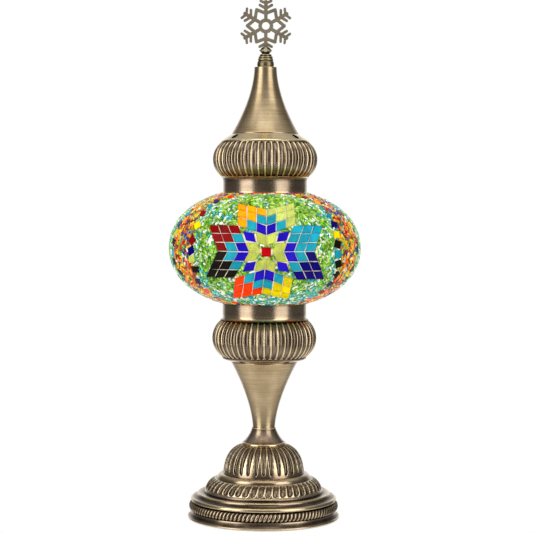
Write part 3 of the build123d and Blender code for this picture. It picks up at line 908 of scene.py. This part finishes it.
class TileShop:
    """Collects tiles by colour, then makes one joined piece of each colour."""

    def __init__(self, area, chance):
        self.area, self.chance = area, chance
        self.stock = {}

    def add(self, centre_azimuth, centre_v, corners, colour, gap):
        """A hand-cut tile from corners in (u, v) round the medallion's centre."""
        jitter = self.chance.uniform
        slips = [[jitter(-0.22, 0.22), jitter(-0.22, 0.22)] for _ in corners]
        corners = inset(ordered(corners) + np.array(slips), gap / 2)
        absolute_v = centre_v + corners[:, 1]
        azimuth = centre_azimuth + corners[:, 0] / SKIN.radius(absolute_v)
        if np.abs(absolute_v).max() > SKIN.edge_v - 0.6:
            return
        middle_v, middle_azimuth = absolute_v.mean(), azimuth.mean()
        centre, east, north, outward = SKIN.at(middle_azimuth, middle_v)
        spots = SKIN.at(azimuth, absolute_v)[0] - centre
        flat = np.column_stack([spots @ east, spots @ north])
        lean = [[jitter(-0.025, 0.025)], [jitter(-0.025, 0.025)]]
        sink = TILE_SINK + jitter(0, 0.12)
        rings = []
        for inward, height, _, _ in TILE_RINGS:
            polygon = inset(flat, inward)
            rings.append(centre + polygon[:, :1] * east + polygon[:, 1:] * north
                         + (height - sink + polygon @ lean) * outward)
        self.stock.setdefault(colour, []).append((rings, jitter(0.4, 1.0)))
        shift = [(centre_azimuth - middle_azimuth) * SKIN.radius(middle_v), centre_v - middle_v]
        self.reserve(middle_azimuth, middle_v, corners + shift)

    def reserve(self, azimuth, v, corners):
        """Marks the ground under a tile, and a rim round it, as taken."""
        window = self.area.window(azimuth % TAU, v, np.linalg.norm(corners, axis=1).max() + 1)
        u, local_v = window[2:]
        inside = np.ones(np.broadcast(u, local_v).shape, bool)
        for a, b in zip(corners, np.roll(corners, -1, axis=0)):
            side = (b - a) / np.linalg.norm(b - a)
            inside &= (side[0] * (local_v - a[1]) - side[1] * (u - a[0])) > -0.35
        self.area.mark(window, inside)

    def make(self):
        for colour, tiles in self.stock.items():
            points, faces, tones = [], [], []
            for rings, tone in tiles:
                faces += stacked(rings, len(points) * len(rings[0]))
                points += rings
                # The sides get none of the tile's tone and the rim rings lose some, as painted shade
                # round each tile's edge.
                for _, _, share, painted_edge_shade in TILE_RINGS:
                    tones += [share * tone - painted_edge_shade] * len(rings[0])
            piece = new_mesh(f"tiles_{colour}", points, faces, smooth=False, tone=tones)
            grain = 0.5 if "olive" in colour else 0.22
            glow = 0.05 if colour in ("black", "slate") else 0.3
            material = glass(f"{colour} glass", TILE_COLOURS[colour], grain, glow, 0.05, 0.05, 0.26)
            place(piece, material, "globe", "mosaic")


# The clear beads are nearly white: partly clear glass, partly painted glints among the greens.
BEAD_COLOURS = {
    "lime": "#8CC832", "leaf": "#5FA81E", "deep_green": "#3A8412", "spring": "#BBD95C",
    "clear": "#EDF4E6", "aqua": "#4ABDB4", "sea": "#16949A", "orange": "#F56A10",
    "amber": "#F6AE10", "yellow": "#EEDB34", "red": "#CE1E12", "brown": "#7E4520",
    "blue": "#2A3E9C", "teal_grey": "#5B8F88",
}
FIELD_MIX = (("lime", 30), ("leaf", 20), ("deep_green", 10), ("spring", 19), ("clear", 16), ("aqua", 5))
WATER_MIX = (("aqua", 32), ("sea", 16), ("clear", 28), ("leaf", 12), ("lime", 12))
PALE_MIX = (("clear", 38), ("spring", 22), ("lime", 20), ("aqua", 9), ("leaf", 11))
BORDER_MIX = (("orange", 19), ("amber", 18), ("yellow", 15), ("red", 9), ("brown", 10),
              ("clear", 6), ("blue", 8), ("teal_grey", 9), ("lime", 6))


def picked(chance, mix):
    names, weights = zip(*mix)
    return chance.choices(names, weights)[0]


def from_medallion(azimuth, v):
    """Place relative to the nearest star: to its right, above it, and in all."""
    turns = [(azimuth - math.radians(m) + math.pi) % TAU - math.pi for m in MEDALLIONS]
    u = min(turns, key=abs) * SKIN.radius(v)
    up = v - STAR_V
    return u, up, math.hypot(u, up)


def bead_colour(chance, azimuth, v):
    """Greens inside each medallion's circle, with drifts of turquoise and clear, warm outside."""
    u, up, from_star = from_medallion(azimuth, v)
    point = Vector(SKIN.at(azimuth, v)[0])
    drift = noise.noise(point * 0.07)
    paler = noise.noise(point * 0.085 + Vector((40, 0, 0)))
    if from_star > BORDER_R + 1.5 * drift:
        return picked(chance, BORDER_MIX)
    if drift > 0.42 or v < -36 + 10 * drift or (from_star > 56 + 8 * drift and abs(u) > abs(up)):
        return picked(chance, WATER_MIX)
    if paler > 0.2:
        return picked(chance, PALE_MIX)
    return picked(chance, FIELD_MIX)


def bead_shapes():
    """Unit shapes for a tube bead, a seed bead and a chip: points, faces, and flat or smooth."""
    tube = [ring(7, r, x)[:, [2, 0, 1]] for x, r in (
        (-0.99, 0.45), (-0.93, 0.86), (-0.8, 1.0), (0.8, 1.0), (0.93, 0.86), (0.99, 0.45))]
    seed = [ring(8, r, z) for z, r in (
        (-0.98, 0.5), (-0.6, 0.9), (0.0, 1.0), (0.6, 0.9), (0.98, 0.5))]
    rim = np.array([(-1, -0.5), (-0.35, -1), (0.6, -0.9), (1, -0.1), (0.7, 0.8), (-0.2, 1),
                    (-0.95, 0.5)])
    chip = [np.column_stack([size * rim, np.full(len(rim), z)]) for z, size in ((-1, 1.0), (1, 0.78))]
    return {"tube": (np.concatenate(tube), [group[:, ::-1] for group in stacked(tube)], True),
            "seed": (np.concatenate(seed), stacked(seed), True),
            "chip": (np.concatenate(chip), stacked(chip), False)}


BEAD_PASSES = (     # tries, then each kind with its shortest, longest, thinnest and thickest
    (70000, (("tube", 2.8, 4.2, 1.2, 1.45), ("chip", 2.2, 3.1, 1.4, 1.8))),
    (70000, (("tube", 1.9, 2.8, 1.1, 1.3), ("seed", 1.5, 1.8, 1.4, 1.7),
             ("chip", 1.5, 2.1, 1.1, 1.4))),
    (40000, (("seed", 1.1, 1.3, 1.05, 1.25), ("chip", 1.1, 1.4, 0.9, 1.1))),
)


def scatter_beads(area, chance):
    """Random tubes and chips first, then seeds in what room is left. Returns rows per colour."""
    stock = {}
    limit = SKIN.edge_v - 1.1
    for tries, kinds in BEAD_PASSES:
        for _ in range(tries):
            v = chance.uniform(-limit, limit)
            if chance.random() > SKIN.radius(v) / GLOBE_R:
                continue
            azimuth = chance.uniform(0, TAU)
            kind, short, long, thin, thick = kinds[chance.randrange(len(kinds))]
            length, width = chance.uniform(short, long), chance.uniform(thin, thick)
            u, up, from_star = from_medallion(azimuth, v)
            lean = math.atan2(u, -up) + chance.gauss(0, 0.6)
            if from_star > BORDER_R:
                length, width = length * 1.25, width * 1.15
            window = area.window(azimuth, v, length / 2 + 0.3)
            if not area.free(window, capsule(window, length * 0.8, width * 0.55, lean)):
                continue
            area.mark(window, capsule(window, length * 0.95, width * 0.9, lean))
            height = width * (0.62 if kind == "chip" else 0.95)
            colour = bead_colour(chance, azimuth, v)
            sink = height / 2 + chance.uniform(0.05, 0.3)
            stock.setdefault((colour, kind), []).append(
                (azimuth, v, lean, length / 2, width / 2, height / 2, sink, chance.random()))
    return stock


def make_beads(stock):
    """One joined piece for each colour and kind of bead."""
    shapes = bead_shapes()
    materials = {}
    for (colour, kind), rows in sorted(stock.items()):
        shape, faces, smooth = shapes[kind]
        azimuth, v, lean, length, width, height, sink, tone = np.array(rows).T
        point, east, north, outward = SKIN.at(azimuth, v)
        c, s = np.cos(lean)[:, None], np.sin(lean)[:, None]
        axes = np.stack([c * east + s * north, c * north - s * east, outward], axis=1)
        sizes = np.stack([length, width, height], axis=1)[:, None, :]
        points = (point - sink[:, None] * outward)[:, None, :] + (shape * sizes) @ axes
        starts = (np.arange(len(rows)) * len(shape))[:, None, None]
        groups = [(group[None] + starts).reshape(-1, group.shape[1]) for group in faces]
        piece = new_mesh(f"beads_{colour}_{kind}", points, groups, smooth,
                         tone=np.repeat(tone, len(shape)))
        if colour not in materials:
            materials[colour] = glass(f"{colour} beads", BEAD_COLOURS[colour], 0.1, 0.26, 0.7, 0.02, 0.36)
        place(piece, materials[colour], "globe", "mosaic")


BED_ROWS, BED_COLUMNS, BED_BACK_ROWS = 150, 460, 40
BED_BACK_SINK = 2.15            # where the bed meets the glass, below the globe's full size


def grout(area):
    """The pale bed: nearly level with the tiles, lower and lumpy between the beads."""
    v = np.linspace(-SKIN.edge_v, SKIN.edge_v, BED_ROWS)
    azimuth = turn(BED_COLUMNS)
    covered = blurred_tiles(area.taken, v, azimuth)
    point, _, _, outward = SKIN.at(azimuth[None, :], v[:, None])
    lumps = np.array([[noise.noise(Vector(p) * 0.9) for p in line] for line in point])
    near_edge = smoothstep(SKIN.edge_v - np.abs(v), 0, 2.0)[:, None]
    sink = 1.25 - 0.4 * covered + (0.22 - 0.1 * covered) * lumps + 0.4 * (1 - near_edge)
    outer = point - sink[..., None] * outward
    back_v = np.linspace(SKIN.edge_v, -SKIN.edge_v, BED_BACK_ROWS)
    back_point, _, _, back_outward = SKIN.at(azimuth[None, :], back_v[:, None])
    points = np.concatenate([outer, back_point - BED_BACK_SINK * back_outward])
    tone = np.concatenate([covered, np.zeros((BED_BACK_ROWS, BED_COLUMNS))])
    piece = new_mesh("grout_bed", points, [grid_faces(len(points), BED_COLUMNS, True)], tone=tone)
    place(piece, grout_material(), "globe", "mosaic", "mosaic_layer")


def grout_material():
    """Cream under the tiles with a painted glow, and dark green between the beads as painted shade and
    painted reflection of the green glass.
    """
    s = Surface("grout")
    grain = s.clouds(2200, 4)
    blotches = s.clouds(180, 3)
    tiled = s.value_on_points("tone")
    tone = s.total(*(s.math("MULTIPLY", part, 0.35) for part in (grain, blotches, tiled)))
    # The two green stops are painted shade and reflection between the beads; the cream stops are the
    # grout's own colour.
    colour = s.ramp(tone, (0.3, "#4E6E28"), (0.46, "#7F9A50"), (0.62, "#EFDFC0"), (0.85, "#FCEED6"))
    # The emission is a painted glow, faint between the beads and strongest among the tiles.
    s.set(Base_Color=colour, Roughness=0.75, Emission_Color=colour,
          Emission_Strength=s.mapped(tiled, 0, 1, 0.04, 0.34))
    s.bump(s.total(grain, blotches), 0.12)
    return s.material


def blurred_tiles(mask, v, azimuth):
    """How much of the ground near each grid point lies under tiles, from 0 to 1."""
    rows = np.clip(((v + SKIN.edge_v) / TakenArea.ROW).astype(int), 0, mask.shape[0] - 1)
    columns = (azimuth / TAU * mask.shape[1]).astype(int) % mask.shape[1]
    total = np.zeros((len(v), len(azimuth)))
    offsets = range(-6, 7, 3)
    for row_shift, column_shift in itertools.product(offsets, offsets):
        near_rows = np.clip(rows + row_shift, 0, mask.shape[0] - 1)
        near_columns = (columns + column_shift) % mask.shape[1]
        total += mask[np.ix_(near_rows, near_columns)]
    return smoothstep(total / len(offsets) ** 2, 0.3, 0.9)


def mosaic():
    """Three stars with a border of odd tiles round each, grout under them, then the beads."""
    chance = random.Random(7)
    area = TakenArea()
    shop = TileShop(area, chance)
    for centre in map(math.radians, MEDALLIONS):
        for corners, colour in star_tiles():
            shop.add(centre, STAR_V, corners, colour, GROUT_GAP)
        for bearing, colour in BORDER_TILES:
            radius = BORDER_R + chance.uniform(-1.6, 2.2)
            u, v = radius * math.sin(math.radians(bearing)), radius * math.cos(math.radians(bearing))
            long, short = chance.uniform(3.0, 3.8), chance.uniform(2.4, 3.0)
            lean = chance.uniform(-0.5, 0.9)
            c, s = math.cos(lean), math.sin(lean)
            corners = [(u + x * c - y * s, v + x * s + y * c) for x, y in box_corners(long, short)]
            shop.add(centre, STAR_V, corners, colour, 0.0)
    shop.make()
    grout(area)
    make_beads(scatter_beads(area, chance))


# ---------------- parts kept from the CAD
def dress(material, *nodes):
    """Gives CAD nodes a finished material."""
    for name in nodes:
        mesh = frame["nodes"][name].data
        mesh.materials.clear()
        mesh.materials.append(material)


INNER_PARTS = (     # name, dark and pale colour, roughness, metal, grain and its depth, then nodes
    ("felt", "#15251B", "#2A4432", 0.95, 0.0, 900, 0.2, "felt_pad"),
    ("zinc plate", "#8C8E8C", "#B9BBB8", 0.4, 1.0, 120, 0.02, "bottom_plate"),
    ("cast iron", "#241F1C", "#4A423B", 0.62, 0.8, 160, 0.15, "base_weight"),
    ("black plastic", "#0B0B0C", "#1D1D1F", 0.42, 0.0, 500, 0.02, "cord_gland"),
    ("zinc-plated steel", "#8F8C84", "#CFCCC2", 0.3, 1.0, 260, 0.02,
     "lamp_pipe", "lower_washer", "lower_nut", "upper_washer", "upper_nut", "spring_clips",
     "top_stud", "top_washer", "top_nut", "terminal_screws"),
    ("phenolic resin", "#0E0C0B", "#241F1C", 0.3, 0.0, 420, 0.02, "holder_base", "holder_skirt"),
    ("glazed ceramic", "#D9D2C4", "#F2ECE0", 0.22, 0.0, 220, 0.02, "holder_core"),
    ("contact brass", "#A8853E", "#E0C07A", 0.28, 1.0, 300, 0.02, "thread_sleeve", "centre_contact"),
    # The rivet is made pale and rough so its flat head shows as a lit ball: painted highlight.
    ("rivet brass with painted highlight", "#9C9474", "#CFC7A4", 0.5, 0.2, 300, 0.02, "finial_rivet"),
    ("nickel plate", "#A9A59C", "#DAD6CC", 0.25, 1.0, 300, 0.02, "bulb_cap", "bulb_contact"),
    ("cap glass", "#101417", "#232A2E", 0.15, 0.0, 260, 0.02, "cap_insulator"),
    ("white plastic", "#DCDCD8", "#F4F4F0", 0.35, 0.0, 420, 0.02, "bulb_housing"),
    ("board", "#C4C7C8", "#EEF0F0", 0.5, 0.0, 200, 0.02, "led_board"),
    ("led", "#D8A81E", "#F5D65A", 0.3, 0.0, 300, 0.02, "led_chips"),
    ("opal cover", "#EFEBE0", "#FBF8F0", 0.28, 0.0, 150, 0.01, "bulb_dome"),
)


def inner_parts():
    """Materials of the parts that keep their CAD shape: what is inside and under, and the rivet."""
    for name, dark, bright, rough, metallic, scale, depth_mm, *nodes in INNER_PARTS:
        dress(moulded(name, dark, bright, rough, metallic, scale, depth_mm), *nodes)
    s = Surface("clear glass")
    seeds = s.clouds(90, 2)
    s.set(Base_Color=s.ramp(seeds, (0.3, "#DCEBE6"), (0.7, "#F2F8F6")), Roughness=0.04, IOR=1.5,
          Transmission_Weight=0.9)
    s.bump(seeds, 0.2)
    dress(s.material, "globe_glass")


# ---------------- studio
LENS, SENSOR = 109.3, 36.0
CAMERA_PLACE = (0.0012, -1.265, 0.2485)         # metres
CAMERA_DROP, CAMERA_ROLL = 2.33, -0.28          # degrees below level, and to one side
WHITE = (1, 1, 1, 1)
FLOOR_GREY = (0.93, 0.93, 0.93, 1)
FLOOR_Z = -0.1
FADE_START, FADE_END = 0.055, 0.12              # metres from the lamp's middle
LIGHT_HEIGHT = 0.22                             # what the softboxes aim at, in metres
ROOM_LIGHT = 0.13                               # what reaches the lamp from every side


def camera():
    data = bpy.data.cameras.new("camera")
    data.lens, data.sensor_width = LENS, SENSOR
    made = linked("camera", data)
    made.location = CAMERA_PLACE
    made.rotation_euler = (math.radians(90 - CAMERA_DROP), math.radians(CAMERA_ROLL), 0)
    bpy.context.scene.camera = made


def softbox(name, azimuth, elevation, distance, width, height, watts):
    """A rectangular light at that place round the lamp, aimed at its middle and hidden from view."""
    data = bpy.data.lights.new(name, "AREA")
    data.shape = "RECTANGLE"
    data.size, data.size_y = width, height
    data.energy = watts
    made = linked(name, data)
    a, e = math.radians(azimuth), math.radians(elevation)
    offset = Vector((math.sin(a) * math.cos(e), -math.cos(a) * math.cos(e), math.sin(e)))
    made.location = Vector((0, 0, LIGHT_HEIGHT)) + distance * offset
    made.rotation_mode = "QUATERNION"
    made.rotation_quaternion = offset.to_track_quat("Z", "Y")
    made.visible_camera = False


def world():
    """White where the camera looks past the lamp, and a dim studio for everything else."""
    made = bpy.data.worlds.new("studio")
    bpy.context.scene.world = made
    n = Nodes(made)
    split = n.node("ShaderNodeSeparateXYZ", Vector=n.coordinates["Generated"]).outputs
    behind = n.mapped(split["Y"], 0.72, 0.96, 0, 0.95, "SMOOTHSTEP")
    above = n.mapped(split["Z"], 0.35, 0.95, 0, 0.5, "SMOOTHSTEP")
    below = n.mapped(n.math("MULTIPLY", split["Z"], -1.0), 0.2, 0.7, 0, 0.82, "SMOOTHSTEP")
    light = n.total(behind, n.total(above, below), ROOM_LIGHT)
    studio_light = n.node("ShaderNodeBackground", Color=WHITE, Strength=light).outputs[0]
    backdrop = n.node("ShaderNodeBackground", Color=WHITE, Strength=1.0).outputs[0]
    seen = n.node("ShaderNodeLightPath").outputs["Is Camera Ray"]
    mix = n.joined("ShaderNodeMixShader", None, studio_light, backdrop, Fac=seen)
    n.node("ShaderNodeOutputWorld", Surface=mix)


def floor():
    """A pale floor that fades into the white backdrop away from the lamp."""
    rings = [ring(96, r, FLOOR_Z) for r in (0.01, 60, 120, 200, 320, 600, 1500, 5000)]
    made = new_mesh("floor", rings, [grid_faces(len(rings), 96, False)[:, ::-1]])
    material = bpy.data.materials.new("pale floor")
    n = Nodes(material)
    from_lamp = n.node("ShaderNodeVectorMath", "LENGTH", Vector=n.place).outputs["Value"]
    fade = n.mapped(from_lamp, FADE_START, FADE_END, 0, 1, "SMOOTHSTEP")
    lit = n.node("ShaderNodeBsdfDiffuse", Color=FLOOR_GREY).outputs[0]
    glow = n.node("ShaderNodeEmission", Color=WHITE, Strength=0.5).outputs[0]
    near = n.joined("ShaderNodeAddShader", None, lit, glow)
    far = n.node("ShaderNodeEmission", Color=WHITE, Strength=1.0).outputs[0]
    mix = n.joined("ShaderNodeMixShader", None, near, far, Fac=fade)
    n.node("ShaderNodeOutputMaterial", Surface=mix)
    made.data.materials.append(material)
    made.visible_diffuse = False
    made.visible_glossy = False


def studio():
    """Camera, backdrop, floor and three softboxes."""
    camera()
    world()
    floor()
    softbox("left softbox", -52, 8, 1.25, 0.8, 1.7, 9.8)
    softbox("right softbox", 48, 8, 1.25, 0.85, 1.7, 8.5)
    softbox("overhead softbox", 0, 75, 1.5, 1.2, 1.2, 5.0)
    bpy.context.scene.view_settings.view_transform = "Standard"


# ---------------- the lamp
foot()
dome()
neck()
caps_and_cones()
finial()
mosaic()
inner_parts()
studio()
